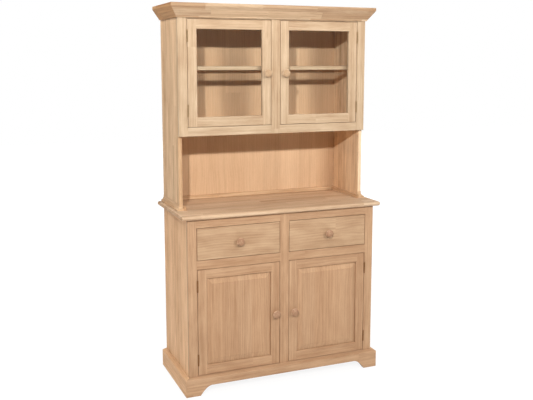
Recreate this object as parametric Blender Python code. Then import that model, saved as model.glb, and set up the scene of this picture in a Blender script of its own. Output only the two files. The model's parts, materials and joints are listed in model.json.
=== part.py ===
"""A two-part hutch in raw hardwood: a buffet with drawers and panel doors carries a glazed display cabinet.

Metres, +Z up, front towards -Y, origin under the middle of the whole piece. Run with
blender --background --python part.py, or from Blender's text editor.
"""

import math

import bmesh
import bpy
from mathutils import Vector

# Boards and the fits between them
BOARD = 0.019
BACK_BOARD = 0.006
DRAWER_SIDE = 0.012
CLEARANCE = 0.0003
REVEAL = 0.0025
EASE = 0.001
OVERRUN = 0.01

# The face that the buffet and the cabinet share
FACE_WIDTH = 1.032
OUTER_STILE = 0.0465
CENTRE_STILE = 0.049

# Buffet, from the floor up
BUFFET_DEPTH = 0.441
FLOOR_RAIL_UNDER = 0.052
FLOOR_RAIL_TOP = 0.095
LOWER_DOORWAY = 0.548
MIDDLE_RAIL = 0.045
DRAWER_OPENING = 0.1645
TOP_RAIL = 0.0445
LOWER_SHELF_SHARE = 0.5
SHELF_SETBACK = 0.02

# Counter top with a half-round nose on three sides
COUNTER_THICKNESS = 0.022
COUNTER_FRONT_OVERHANG = 0.0255
COUNTER_SIDE_OVERHANG = 0.034
NOSE_STEPS = 8

# Plinth boards with a sloped top edge, and the bracket feet cut into the front one
PLINTH_THICKNESS = 0.0235
PLINTH_HEIGHT = 0.0875
PLINTH_SLOPE = 0.0065
FOOT_WIDTH = 0.075
FOOT_CURVE_RUN = 0.062
FOOT_CURVE_RISE = 0.048
FOOT_CURVE_SHARE = 0.53
FOOT_CURVE_STEPS = 8

# Display cabinet above the counter
HUTCH_DEPTH = 0.322
NICHE_HEIGHT = 0.373
CABINET_RAIL = 0.0435
UPPER_DOORWAY = 0.5315
CABINET_HEAD = 0.072
UPPER_SHELF_SHARE = 0.5285

# Cabinet shelf, a wooden frame round a pane
SHELF_FRONT_RAIL = 0.037
SHELF_REAR_RAIL = 0.066
SHELF_END_RAIL = 0.037
SHELF_REBATE = 0.008
SHELF_GLASS_THICKNESS = 0.005

# Crown, as a run outward from the cabinet and a drop from its top
CROWN_RUN = 0.041
CROWN_FILLET = 0.016
CROWN_DROP = 0.0675
CROWN_FOOT_RUN = 0.008
CROWN_FOOT_FILLET = 0.0045

# Shoe round the foot of each cabinet side, and the strips inside the niche
SHOE_RUN = 0.014
SHOE_HEIGHT = 0.033
SHOE_FILLET = 0.008
SHOE_STEPS = 4
STRIP_THICKNESS = 0.014
STRIP_HEIGHT = 0.0195
SHOE_LAP = 0.001

# Door frames, panels and glass
DOOR_MEMBER = 0.048
STICKING_WIDTH = 0.004
STICKING_DEPTH = 0.004
STICKING_STEPS = 3
GROOVE_DEPTH = 0.008
GROOVE_FRONT = 0.0075
GROOVE_WIDTH = 0.006
PANEL_BEVEL = 0.028
PANEL_SHOULDER = 0.0015
PANEL_SETBACK = 0.001
GLASS_LIP = 0.012
GLASS_REBATE = 0.008
GLASS_THICKNESS = 0.003

# Drawers and their runners
DRAWER_BOX_LENGTH = 0.38
DRAWER_BOX_HEIGHT = 0.12
DRAWER_BOX_MARGIN = 0.008
DRAWER_BOTTOM = 0.006
RUNNER_WIDTH = 0.045

# Turned knobs
KNOB_RADIUS = 0.02
KNOB_REACH = 0.031
KNOB_SIDES = 24
KNOB_OUTLINE_SHARES = (
    (0.01, 0.50), (0.12, 0.49), (0.28, 0.40), (0.42, 0.46), (0.52, 0.68), (0.61, 0.92),
    (0.70, 1.00), (0.80, 0.97), (0.89, 0.81), (0.96, 0.50), (1.00, 0.16),
)

# Butt hinges
HINGE_LENGTH = 0.06
HINGE_END_MARGIN = 0.051
BARREL_RADIUS = 0.0035
BARREL_CHAMFER = 0.0008
PIN_RADIUS = 0.0016
PIN_CLEARANCE = 0.0003
BARREL_SIDES = 16
LEAF_THICKNESS = 0.0016
LEAF_REACH = 0.015
LEAF_INSET = 0.0005
MIDDLE_KNUCKLE_SHARE = 0.34

# Places that follow from the sizes above
HALF_FACE = FACE_WIDTH / 2
FRONT = -(BUFFET_DEPTH - KNOB_REACH) / 2
BACK = FRONT + BUFFET_DEPTH
CABINET_FRONT = BACK - HUTCH_DEPTH
BACK_FACE = BACK - BACK_BOARD
INNER_X = HALF_FACE - BOARD
OPENING_OUTER = HALF_FACE - OUTER_STILE
OPENING_INNER = CENTRE_STILE / 2
MIDDLE_RAIL_UNDER = FLOOR_RAIL_TOP + LOWER_DOORWAY
MIDDLE_RAIL_TOP = MIDDLE_RAIL_UNDER + MIDDLE_RAIL
TOP_RAIL_UNDER = MIDDLE_RAIL_TOP + DRAWER_OPENING
COUNTER_UNDER = TOP_RAIL_UNDER + TOP_RAIL
COUNTER_TOP = COUNTER_UNDER + COUNTER_THICKNESS
CABINET_RAIL_UNDER = COUNTER_TOP + NICHE_HEIGHT
CABINET_RAIL_TOP = CABINET_RAIL_UNDER + CABINET_RAIL
CABINET_HEAD_UNDER = CABINET_RAIL_TOP + UPPER_DOORWAY
CABINET_TOP = CABINET_HEAD_UNDER + CABINET_HEAD
LEFT, RIGHT = -1, 1
SIDES = {"left": LEFT, "right": RIGHT}
CORNER_ANGLE = math.radians(35)

WOOD = (0.66, 0.42, 0.23)
WOOD_PALE = (0.72, 0.49, 0.29)
WOOD_DEEP = (0.56, 0.34, 0.18)
BRONZE = (0.16, 0.09, 0.045)
GLASS = (0.90, 0.94, 0.92)


def clear_scene():
    for obj in list(bpy.data.objects):
        bpy.data.objects.remove(obj)


def material(name, colour, roughness=0.6, metallic=0.0, transmission=0.0):
    """A Principled material of its own for one piece."""
    made = bpy.data.materials.new(name)
    made.use_nodes = True
    shader = made.node_tree.nodes["Principled BSDF"]
    shader.inputs["Base Color"].default_value = (*colour, 1)
    shader.inputs["Roughness"].default_value = roughness
    shader.inputs["Metallic"].default_value = metallic
    shader.inputs["Transmission Weight"].default_value = transmission
    made.diffuse_color = (*colour, 1)
    return made


def add_object(name, mesh, at, surface, parent=None):
    """Puts a mesh in the scene with its origin at the world point, under a parent empty if one is given."""
    obj = bpy.data.objects.new(name, mesh)
    bpy.context.scene.collection.objects.link(obj)
    obj.location = at
    if parent is not None:
        obj.parent = parent
        obj.location = Vector(at) - parent.location
    if surface is not None:
        if mesh.materials:
            obj.material_slots[0].link = "OBJECT"
            obj.material_slots[0].material = surface
        else:
            mesh.materials.append(surface)
    return obj


def loft_mesh(name, rings, closed=False):
    """Joins rings of points with quads. An open loft gets a cap at each end, a closed one joins up."""
    bm = bmesh.new()
    loops = [[bm.verts.new(point) for point in ring] for ring in rings]
    pairs = list(zip(loops, loops[1:]))
    if closed:
        pairs.append((loops[-1], loops[0]))
    else:
        bm.faces.new(loops[0])
        bm.faces.new(loops[-1])
    for one, two in pairs:
        for i in range(len(one)):
            j = (i + 1) % len(one)
            bm.faces.new((one[i], one[j], two[j], two[i]))
    bmesh.ops.recalc_face_normals(bm, faces=bm.faces)
    mesh = bpy.data.meshes.new(name)
    bm.to_mesh(mesh)
    bm.free()
    return mesh


def smooth(mesh):
    """Shades a mesh smooth but for its real corners."""
    mesh.shade_smooth()
    mesh.set_sharp_from_angle(angle=CORNER_ANGLE)
    return mesh


def loft(name, rings, surface, closed=False, parent=None, anchor=None):
    """A lofted object. Rings are in world coordinates, and the origin goes to the anchor or the first point."""
    at = Vector(anchor if anchor is not None else rings[0][0])
    local = [[Vector(point) - at for point in ring] for ring in rings]
    return add_object(name, loft_mesh(name, local, closed), at, surface, parent)


def rectangle(x0, x1, y0, y1, z):
    """A level rectangle."""
    return [(x0, y0, z), (x1, y0, z), (x1, y1, z), (x0, y1, z)]


def upright(x0, x1, z0, z1, y):
    """A rectangle parallel to the front."""
    return [(x0, y, z0), (x1, y, z0), (x1, y, z1), (x0, y, z1)]


def ease_edges(obj):
    bevel = obj.modifiers.new("eased edges", "BEVEL")
    bevel.width = EASE
    bevel.segments = 1
    bevel.limit_method = "ANGLE"
    return obj


def board(name, x, y, z, surface, parent=None):
    """A plain board between two x, two y and two z, its origin in its middle, its edges eased."""
    middle = [sum(span) / 2 for span in (x, y, z)]
    rings = [rectangle(x[0], x[1], y[0], y[1], level) for level in z]
    return ease_edges(loft(name, rings, surface, parent=parent, anchor=middle))


def lattice(name, xs, zs, y, filled, surface):
    """A board with openings: the filled cells of a grid of x and z lines, drawn out from y[0] to y[1]."""
    at = Vector((0, y[0], zs[0]))
    bm = bmesh.new()
    corner = {}
    for column, row in filled:
        for i, k in ((column, row), (column + 1, row), (column + 1, row + 1), (column, row + 1)):
            if (i, k) not in corner:
                corner[i, k] = bm.verts.new((xs[i], 0, zs[k] - zs[0]))
        cell = [corner[column, row], corner[column + 1, row], corner[column + 1, row + 1], corner[column, row + 1]]
        bm.faces.new(cell)
    drawn = bmesh.ops.extrude_face_region(bm, geom=list(bm.faces))
    moved = [item for item in drawn["geom"] if isinstance(item, bmesh.types.BMVert)]
    bmesh.ops.translate(bm, verts=moved, vec=(0, y[1] - y[0], 0))
    bmesh.ops.recalc_face_normals(bm, faces=bm.faces)
    bmesh.ops.dissolve_limit(bm, angle_limit=math.radians(1), verts=bm.verts, edges=bm.edges)
    mesh = bpy.data.meshes.new(name)
    bm.to_mesh(mesh)
    bm.free()
    return ease_edges(add_object(name, mesh, at, surface))


def helper(name, rings):
    """A solid that only takes part in a Boolean."""
    obj = loft(name, rings, None)
    obj.hide_render = True
    obj.display_type = "WIRE"
    return obj


def boolean(obj, other, operation):
    modifier = obj.modifiers.new(operation.lower(), "BOOLEAN")
    modifier.object = other
    modifier.operation = operation
    modifier.solver = "EXACT"
    return obj


def mirrored(rings, side):
    """Rings drawn for the right side, turned to the side asked for."""
    return [[(side * x, y, z) for x, y, z in ring] for ring in rings]


def span(side, near, far):
    """The two x of a stretch between distances from the middle, lowest first."""
    return tuple(sorted((side * near, side * far)))


# Buffet case
def base_sides():
    for word, side in SIDES.items():
        board(
            f"base_side_{word}",
            span(side, INNER_X, HALF_FACE),
            (FRONT + BOARD + CLEARANCE, BACK),
            (0, COUNTER_UNDER - CLEARANCE),
            material(f"base_side_{word}", WOOD),
        )


def base_face_frame():
    """Stiles to the floor, a centre stile and rails round two drawers and two doors, as one glued frame."""
    xs = (-HALF_FACE, -OPENING_OUTER, -OPENING_INNER, OPENING_INNER, OPENING_OUTER, HALF_FACE)
    zs = (
        0, FLOOR_RAIL_UNDER, FLOOR_RAIL_TOP, MIDDLE_RAIL_UNDER, MIDDLE_RAIL_TOP, TOP_RAIL_UNDER,
        COUNTER_UNDER - CLEARANCE,
    )
    rows = range(len(zs) - 1)
    outer = [(column, row) for column in (0, 4) for row in rows]
    centre = [(2, row) for row in rows if row > 0]
    rails = [(column, row) for column in (1, 3) for row in (1, 3, 5)]
    surface = material("base_face_frame", WOOD_PALE)
    lattice("base_face_frame", xs, zs, (FRONT, FRONT + BOARD), outer + centre + rails, surface)


def base_panels():
    inside = (FRONT + BOARD + CLEARANCE, BACK_FACE - CLEARANCE)
    width = (-INNER_X + CLEARANCE, INNER_X - CLEARANCE)
    floor = (FLOOR_RAIL_TOP - BOARD, FLOOR_RAIL_TOP)
    board("base_bottom", width, inside, floor, material("base_bottom", WOOD))
    back = (FLOOR_RAIL_UNDER, COUNTER_UNDER - CLEARANCE)
    board("base_back", width, (BACK_FACE, BACK), back, material("base_back", WOOD_DEEP))
    middle = FLOOR_RAIL_TOP + LOWER_DOORWAY * LOWER_SHELF_SHARE
    level = (middle - BOARD / 2, middle + BOARD / 2)
    shelf = (inside[0] + SHELF_SETBACK, inside[1])
    board("base_shelf", width, shelf, level, material("base_shelf", WOOD))


def counter_top():
    """A slab whose front and ends are half round: each layer's edge stands in from the nose by R - R cos a."""
    radius = COUNTER_THICKNESS / 2
    half = HALF_FACE + COUNTER_SIDE_OVERHANG
    front = FRONT - COUNTER_FRONT_OVERHANG
    layers = []
    for step in range(NOSE_STEPS + 1):
        angle = math.pi * (step / NOSE_STEPS - 0.5)
        inset = radius * (1 - math.cos(angle))
        level = COUNTER_UNDER + radius * (1 + math.sin(angle))
        layers.append(rectangle(-half + inset, half - inset, front + inset, BACK, level))
    slab = loft("counter_top", layers, material("counter_top", WOOD), anchor=(0, BACK, COUNTER_UNDER))
    smooth(slab.data)


def plinth_section():
    """Points of the plinth's section, as run outward from the case and height."""
    run = CLEARANCE + PLINTH_THICKNESS
    return ((CLEARANCE, 0), (run, 0), (run, PLINTH_HEIGHT), (CLEARANCE, PLINTH_HEIGHT + PLINTH_SLOPE))


def mitred_front(section, front, base=0):
    """Rings of a moulding across the front, its ends mitred: at run r the end lies r beyond the case's corner."""
    return [[(side * (HALF_FACE + run), front - run, base + rise) for run, rise in section] for side in (LEFT, RIGHT)]


def mitred_return(section, front, side, base=0):
    """Rings of a moulding along one side, from the back to its mitre with the front piece."""
    ends = ([BACK] * len(section), [front - run + CLEARANCE for run, _ in section])
    return [[(side * (HALF_FACE + run), y, base + rise) for (run, rise), y in zip(section, ys)] for ys in ends]


def foot_curve():
    """The inner edge of a bracket foot, a quadratic curve from the floor to the apron, as (run, rise)."""
    points = []
    for step in range(FOOT_CURVE_STEPS + 1):
        t = step / FOOT_CURVE_STEPS
        run = 2 * t * (1 - t) * FOOT_CURVE_SHARE * FOOT_CURVE_RUN + t * t * FOOT_CURVE_RUN
        rise = 2 * t * (1 - t) * FOOT_CURVE_RISE + t * t * FOOT_CURVE_RISE
        points.append((run, rise))
    return points


def plinth():
    section = plinth_section()
    front = loft("plinth_front", mitred_front(section, FRONT), material("plinth_front", WOOD))
    foot = HALF_FACE + PLINTH_THICKNESS - FOOT_WIDTH
    curve = [(foot - run, rise) for run, rise in foot_curve()]
    outline = [(foot, -OVERRUN)] + curve
    outline += [(-x, z) for x, z in reversed(outline)]
    near, far = FRONT - PLINTH_THICKNESS - OVERRUN, FRONT + OVERRUN
    arch = helper("apron_cutter", [[(x, y, z) for x, z in outline] for y in (near, far)])
    boolean(front, arch, "DIFFERENCE")
    for word, side in SIDES.items():
        rings = mitred_return(section, FRONT, side)
        loft(f"plinth_{word}", rings, material(f"plinth_{word}", WOOD))


# Display cabinet
def cabinet_panels():
    foot, head = COUNTER_TOP + CLEARANCE, CABINET_TOP
    inside = (CABINET_FRONT + BOARD + CLEARANCE, BACK_FACE - CLEARANCE)
    width = (-INNER_X + CLEARANCE, INNER_X - CLEARANCE)
    for word, side in SIDES.items():
        board(
            f"hutch_side_{word}",
            span(side, INNER_X, HALF_FACE),
            (inside[0], BACK),
            (foot, head),
            material(f"hutch_side_{word}", WOOD),
        )
    board("hutch_back", width, (BACK_FACE, BACK), (foot, head), material("hutch_back", WOOD_DEEP))
    board("hutch_top", width, inside, (head - BOARD, head), material("hutch_top", WOOD))
    floor = (CABINET_RAIL_TOP - BOARD, CABINET_RAIL_TOP)
    board("hutch_floor", width, inside, floor, material("hutch_floor", WOOD))
    middle = CABINET_RAIL_TOP + UPPER_DOORWAY * UPPER_SHELF_SHARE
    cabinet_shelf(width, (inside[0] + SHELF_SETBACK, inside[1]), (middle, middle + BOARD))


def cabinet_shelf(width, depth, level):
    """A frame of rails with a rebate round its opening, and the pane that lies in it, flush with the wood."""
    seat = level[1] - SHELF_GLASS_THICKNESS - CLEARANCE

    def outline(inset, z):
        return rectangle(width[0] + inset, width[1] - inset, depth[0] + inset, depth[1] - inset, z)

    def opening(margin, z):
        rim_x = (width[0] + SHELF_END_RAIL - margin, width[1] - SHELF_END_RAIL + margin)
        rim_y = (depth[0] + SHELF_FRONT_RAIL - margin, depth[1] - SHELF_REAR_RAIL + margin)
        return rectangle(*rim_x, *rim_y, z)

    rings = [
        outline(EASE, level[0]), outline(0, level[0] + EASE), outline(0, level[1] - EASE), outline(EASE, level[1]),
        opening(SHELF_REBATE, level[1]), opening(SHELF_REBATE, seat), opening(0, seat), opening(0, level[0]),
    ]
    anchor = (sum(width) / 2, sum(depth) / 2, sum(level) / 2)
    loft("hutch_shelf", rings, material("hutch_shelf", WOOD), closed=True, anchor=anchor)
    pane = [opening(SHELF_REBATE - CLEARANCE, z) for z in (seat + CLEARANCE, level[1])]
    loft("hutch_shelf_glass", pane, material("hutch_shelf_glass", GLASS, 0.02, 0.0, 1.0), anchor=anchor)


def cabinet_face_frame():
    xs = (-HALF_FACE, -OPENING_OUTER, -OPENING_INNER, OPENING_INNER, OPENING_OUTER, HALF_FACE)
    zs = (CABINET_RAIL_UNDER, CABINET_RAIL_TOP, CABINET_HEAD_UNDER, CABINET_TOP)
    stiles = [(column, row) for column in (0, 2, 4) for row in range(3)]
    rails = [(column, row) for column in (1, 3) for row in (0, 2)]
    depth = (CABINET_FRONT, CABINET_FRONT + BOARD)
    lattice("hutch_face_frame", xs, zs, depth, stiles + rails, material("hutch_face_frame", WOOD_PALE))


def crown():
    """A fillet, a straight slope and a small foot fillet, mitred at the corners and returned to the back."""
    run = CLEARANCE + CROWN_RUN
    foot = CLEARANCE + CROWN_FOOT_RUN
    section = (
        (CLEARANCE, 0), (run, 0), (run, -CROWN_FILLET), (foot, -CROWN_DROP + CROWN_FOOT_FILLET),
        (foot, -CROWN_DROP), (CLEARANCE, -CROWN_DROP),
    )
    front = mitred_front(section, CABINET_FRONT, CABINET_TOP)
    loft("crown_front", front, material("crown_front", WOOD))
    for word, side in SIDES.items():
        rings = mitred_return(section, CABINET_FRONT, side, CABINET_TOP)
        loft(f"crown_{word}", rings, material(f"crown_{word}", WOOD))


def shoe_section():
    """A cove over a low fillet: the cove is a quarter of an ellipse whose hollow faces out and up."""
    points = [(CLEARANCE, 0), (CLEARANCE + SHOE_RUN, 0)]
    for step in range(SHOE_STEPS + 1):
        angle = math.pi / 2 * step / SHOE_STEPS
        run = SHOE_RUN * (1 - math.sin(angle))
        rise = SHOE_HEIGHT - (SHOE_HEIGHT - SHOE_FILLET) * math.cos(angle)
        points.append((CLEARANCE + max(run, SHOE_LAP), rise))
    points.append((CLEARANCE, SHOE_HEIGHT))
    return points


def shoes():
    """The moulding along the outside and front of each side's foot, with the square strip inside it."""
    base = COUNTER_TOP + CLEARANCE
    panel_front = CABINET_FRONT + BOARD + CLEARANCE
    section = shoe_section()
    inner = INNER_X - CLEARANCE
    for word, side in SIDES.items():
        rings = [
            [(HALF_FACE + run, BACK, base + rise) for run, rise in section],
            [(HALF_FACE + run, panel_front - run, base + rise) for run, rise in section],
            [(inner - SHOE_LAP, panel_front - run, base + rise) for run, rise in section],
        ]
        shoe = loft(f"shoe_{word}", mirrored(rings, side), material(f"shoe_{word}", WOOD))
        x = span(side, inner - STRIP_THICKNESS, inner)
        y = (panel_front - CLEARANCE - SHOE_RUN, BACK_FACE - CLEARANCE)
        levels = (base, base + STRIP_HEIGHT)
        strip = helper(f"strip_{word}", [rectangle(x[0], x[1], y[0], y[1], level) for level in levels])
        boolean(shoe, strip, "UNION")


def back_strip():
    half = INNER_X - 2 * CLEARANCE - STRIP_THICKNESS
    y = (BACK_FACE - CLEARANCE - STRIP_THICKNESS, BACK_FACE - CLEARANCE)
    base = COUNTER_TOP + CLEARANCE
    board("back_strip", (-half, half), y, (base, base + STRIP_HEIGHT), material("back_strip", WOOD))


# Doors
def sticking():
    """The rounded inner edge of a door frame, as (inset, depth), a quarter round from the face inward."""
    points = []
    for step in range(STICKING_STEPS + 1):
        angle = math.pi / 2 * step / STICKING_STEPS
        inset = DOOR_MEMBER - STICKING_WIDTH + STICKING_WIDTH * math.sin(angle)
        points.append((inset, STICKING_DEPTH * (1 - math.cos(angle))))
    return points


def frame_section(glazed):
    """Section of a door frame as (inset from the door's edge, depth from its face)."""
    section = [(0, BOARD), (0, EASE), (EASE, 0)] + sticking()
    if glazed:
        bottom = DOOR_MEMBER - GLASS_REBATE
        return section + [(DOOR_MEMBER, GLASS_LIP), (bottom, GLASS_LIP), (bottom, BOARD)]
    bottom = DOOR_MEMBER - GROOVE_DEPTH
    groove_back = GROOVE_FRONT + GROOVE_WIDTH
    groove = [(DOOR_MEMBER, GROOVE_FRONT), (bottom, GROOVE_FRONT), (bottom, groove_back)]
    return section + groove + [(DOOR_MEMBER, groove_back), (DOOR_MEMBER, BOARD)]


def door_frame(name, x, z, face, glazed, parent):
    rings = [
        upright(x[0] + inset, x[1] - inset, z[0] + inset, z[1] - inset, face + depth)
        for inset, depth in frame_section(glazed)
    ]
    frame = loft(name, rings, material(name, WOOD_PALE), closed=True, parent=parent)
    smooth(frame.data)


def raised_panel(name, x, z, face, parent):
    """A tongue in the frame's groove, a bevel up to a small shoulder, and a flat field in the middle."""
    edge = DOOR_MEMBER - GROOVE_DEPTH + CLEARANCE
    tongue_front = face + GROOVE_FRONT + CLEARANCE
    tongue_back = face + GROOVE_FRONT + GROOVE_WIDTH - CLEARANCE
    field = DOOR_MEMBER + PANEL_BEVEL
    top = face + PANEL_SETBACK
    layers = (
        (edge, tongue_back), (edge, tongue_front), (DOOR_MEMBER, tongue_front),
        (field, top + PANEL_SHOULDER), (field, top),
    )
    rings = [upright(x[0] + i, x[1] - i, z[0] + i, z[1] - i, y) for i, y in layers]
    loft(name, rings, material(name, WOOD), parent=parent)


def glass_pane(name, x, z, face, parent):
    edge = DOOR_MEMBER - GLASS_REBATE + CLEARANCE
    front = face + GLASS_LIP + CLEARANCE
    levels = (front, front + GLASS_THICKNESS)
    rings = [upright(x[0] + edge, x[1] - edge, z[0] + edge, z[1] - edge, y) for y in levels]
    loft(name, rings, material(name, GLASS, 0.02, 0.0, 1.0), parent=parent)


def knob_mesh():
    """A turned mushroom knob about -Y, its seat at the origin."""
    rings = []
    for reach, radius in KNOB_OUTLINE_SHARES:
        turn = [2 * math.pi * i / KNOB_SIDES for i in range(KNOB_SIDES)]
        r = radius * KNOB_RADIUS
        rings.append([(r * math.cos(a), -reach * KNOB_REACH, r * math.sin(a)) for a in turn])
    return smooth(loft_mesh("knob", rings))


def circle(radius, z):
    turn = [2 * math.pi * i / BARREL_SIDES for i in range(BARREL_SIDES)]
    return [(radius * math.cos(a), radius * math.sin(a), z) for a in turn]


def leaf(name, near, offset, z):
    """The plate of a hinge from inside the barrel back along the gap, on the side that the offset gives."""
    x = (offset - LEAF_THICKNESS / 2, offset + LEAF_THICKNESS / 2)
    far = BARREL_RADIUS + CLEARANCE + LEAF_REACH
    return helper(name, [rectangle(x[0], x[1], near, far, level) for level in z])


def joined_mesh(name, base, others):
    """The union of a mesh and helper solids, worked out once, for objects that share it."""
    whole = add_object(name, base, (0, 0, 0), None)
    for other in others:
        boolean(whole, other, "UNION")
    graph = bpy.context.evaluated_depsgraph_get()
    mesh = bpy.data.meshes.new_from_object(whole.evaluated_get(graph))
    mesh.name = name
    for obj in (whole, *others):
        bpy.data.objects.remove(obj)
    return smooth(mesh)


def hinge_meshes():
    """(fixed half with the end knuckles and the pin, moving half with the middle knuckle), axis at the origin."""
    half = HINGE_LENGTH / 2
    knuckle = HINGE_LENGTH * MIDDLE_KNUCKLE_SHARE / 2
    lean = (REVEAL - LEAF_THICKNESS) / 2 - CLEARANCE
    shoulder = knuckle + CLEARANCE
    turned = (
        (BARREL_RADIUS - BARREL_CHAMFER, -half), (BARREL_RADIUS, BARREL_CHAMFER - half),
        (BARREL_RADIUS, -shoulder), (PIN_RADIUS, -shoulder), (PIN_RADIUS, shoulder),
        (BARREL_RADIUS, shoulder), (BARREL_RADIUS, half - BARREL_CHAMFER),
        (BARREL_RADIUS - BARREL_CHAMFER, half),
    )
    body = loft_mesh("fixed body", [circle(radius, z) for radius, z in turned])
    low = (-half + BARREL_CHAMFER + LEAF_INSET, -shoulder - LEAF_INSET)
    high = (shoulder + LEAF_INSET, half - BARREL_CHAMFER - LEAF_INSET)
    near = (PIN_RADIUS + BARREL_RADIUS) / 2
    plates = [leaf("low leaf", near, -lean, low), leaf("high leaf", near, -lean, high)]
    fixed = joined_mesh("hinge_fixed", body, plates)
    bore = PIN_RADIUS + PIN_CLEARANCE
    wall = ((BARREL_RADIUS, -knuckle), (BARREL_RADIUS, knuckle), (bore, knuckle), (bore, -knuckle))
    sleeve = loft_mesh("sleeve", [circle(radius, z) for radius, z in wall], closed=True)
    inside = (bore + BARREL_RADIUS) / 2
    middle = (LEAF_INSET - knuckle, knuckle - LEAF_INSET)
    moving = joined_mesh("hinge_moving", sleeve, [leaf("middle leaf", inside, lean, middle)])
    return fixed, moving


def hinge_pair(door, at, z, side, meshes, parent):
    """Two butt hinges on one door. Turned half a turn about Y, the left hand makes the right hand."""
    places = {
        "top": z[1] - HINGE_END_MARGIN - HINGE_LENGTH / 2,
        "bottom": z[0] + HINGE_END_MARGIN + HINGE_LENGTH / 2,
    }
    turn = 0 if side == LEFT else math.pi
    for word, level in places.items():
        for half, mesh, owner in (("fixed", meshes[0], None), ("moving", meshes[1], parent)):
            name = f"{door}_hinge_{word}_{half}"
            surface = material(name, BRONZE, 0.42, 1.0)
            obj = add_object(name, mesh, (at[0], at[1], level), surface, owner)
            obj.rotation_euler = (0, turn, 0)


def door(level, word, side, face, z, glazed, knob, meshes):
    """A door with its frame, infill, knob and hinges, all under an empty on the hinge axis."""
    name = f"{level}_door_{word}"
    axis = (side * (OPENING_OUTER - REVEAL / 2), face - BARREL_RADIUS - CLEARANCE, z[0])
    pivot = bpy.data.objects.new(f"{name}_axis", None)
    bpy.context.scene.collection.objects.link(pivot)
    pivot.location = axis
    x = span(side, OPENING_INNER + REVEAL, OPENING_OUTER - REVEAL)
    door_frame(f"{name}_frame", x, z, face, glazed, pivot)
    if glazed:
        glass_pane(f"{name}_glass", x, z, face, pivot)
    else:
        raised_panel(f"{name}_panel", x, z, face, pivot)
    at = (side * (OPENING_INNER + REVEAL + DOOR_MEMBER / 2), face, sum(z) / 2)
    add_object(f"{name}_knob", knob, at, material(f"{name}_knob", WOOD), pivot)
    hinge_pair(name, axis, z, side, meshes, pivot)


# Drawers
def drawer(word, side, knob):
    """An open box behind an inset front, under an empty at the front's middle that slides along -Y."""
    name = f"drawer_{word}"
    x = span(side, OPENING_INNER + REVEAL, OPENING_OUTER - REVEAL)
    z = (MIDDLE_RAIL_TOP + REVEAL, TOP_RAIL_UNDER - REVEAL)
    middle = (sum(x) / 2, FRONT, sum(z) / 2)
    slide = bpy.data.objects.new(f"{name}_slide", None)
    bpy.context.scene.collection.objects.link(slide)
    slide.location = middle
    board(f"{name}_front", x, (FRONT, FRONT + BOARD), z, material(f"{name}_front", WOOD_PALE), slide)
    add_object(f"{name}_knob", knob, middle, material(f"{name}_knob", WOOD), slide)
    left, right = x[0] + DRAWER_BOX_MARGIN, x[1] - DRAWER_BOX_MARGIN
    near = FRONT + BOARD + CLEARANCE
    far = near + DRAWER_BOX_LENGTH
    low = MIDDLE_RAIL_TOP + CLEARANCE
    high = low + DRAWER_BOX_HEIGHT
    wall = DRAWER_SIDE
    rings = [
        rectangle(left, right, near, far, low),
        rectangle(left, right, near, far, high),
        rectangle(left + wall, right - wall, near + wall, far - wall, high),
        rectangle(left + wall, right - wall, near + wall, far - wall, low + DRAWER_BOTTOM),
    ]
    loft(f"{name}_box", rings, material(f"{name}_box", WOOD), parent=slide)


def drawer_runner(word, side):
    """A flat board from the frame to the back, level with the middle rail, that the drawer's box slides on."""
    middle = side * (OPENING_INNER + OPENING_OUTER) / 2
    board(
        f"drawer_runner_{word}",
        (middle - RUNNER_WIDTH / 2, middle + RUNNER_WIDTH / 2),
        (FRONT + BOARD + CLEARANCE, BACK_FACE - CLEARANCE),
        (MIDDLE_RAIL_TOP - BOARD, MIDDLE_RAIL_TOP),
        material(f"drawer_runner_{word}", WOOD),
    )


def main():
    clear_scene()
    base_sides()
    base_face_frame()
    base_panels()
    counter_top()
    plinth()
    cabinet_panels()
    cabinet_face_frame()
    crown()
    shoes()
    back_strip()
    knob = knob_mesh()
    hinges = hinge_meshes()
    lower = (FLOOR_RAIL_TOP + REVEAL, MIDDLE_RAIL_UNDER - REVEAL)
    upper = (CABINET_RAIL_TOP + REVEAL, CABINET_HEAD_UNDER - REVEAL)
    for word, side in SIDES.items():
        door("lower", word, side, FRONT, lower, False, knob, hinges)
        door("upper", word, side, CABINET_FRONT, upper, True, knob, hinges)
        drawer(word, side, knob)
        drawer_runner(word, side)


main()
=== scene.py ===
# %% [markdown]
# # A raw wood hutch
# A hutch is two cases: a buffet with drawers and panelled doors, and a glazed cabinet that stands on it. The
# packed part already fixes every size, joint and body. This lesson rebuilds each wooden piece as the
# separate boards that a maker would cut, gives them their grain, and puts them where the part says.

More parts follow.
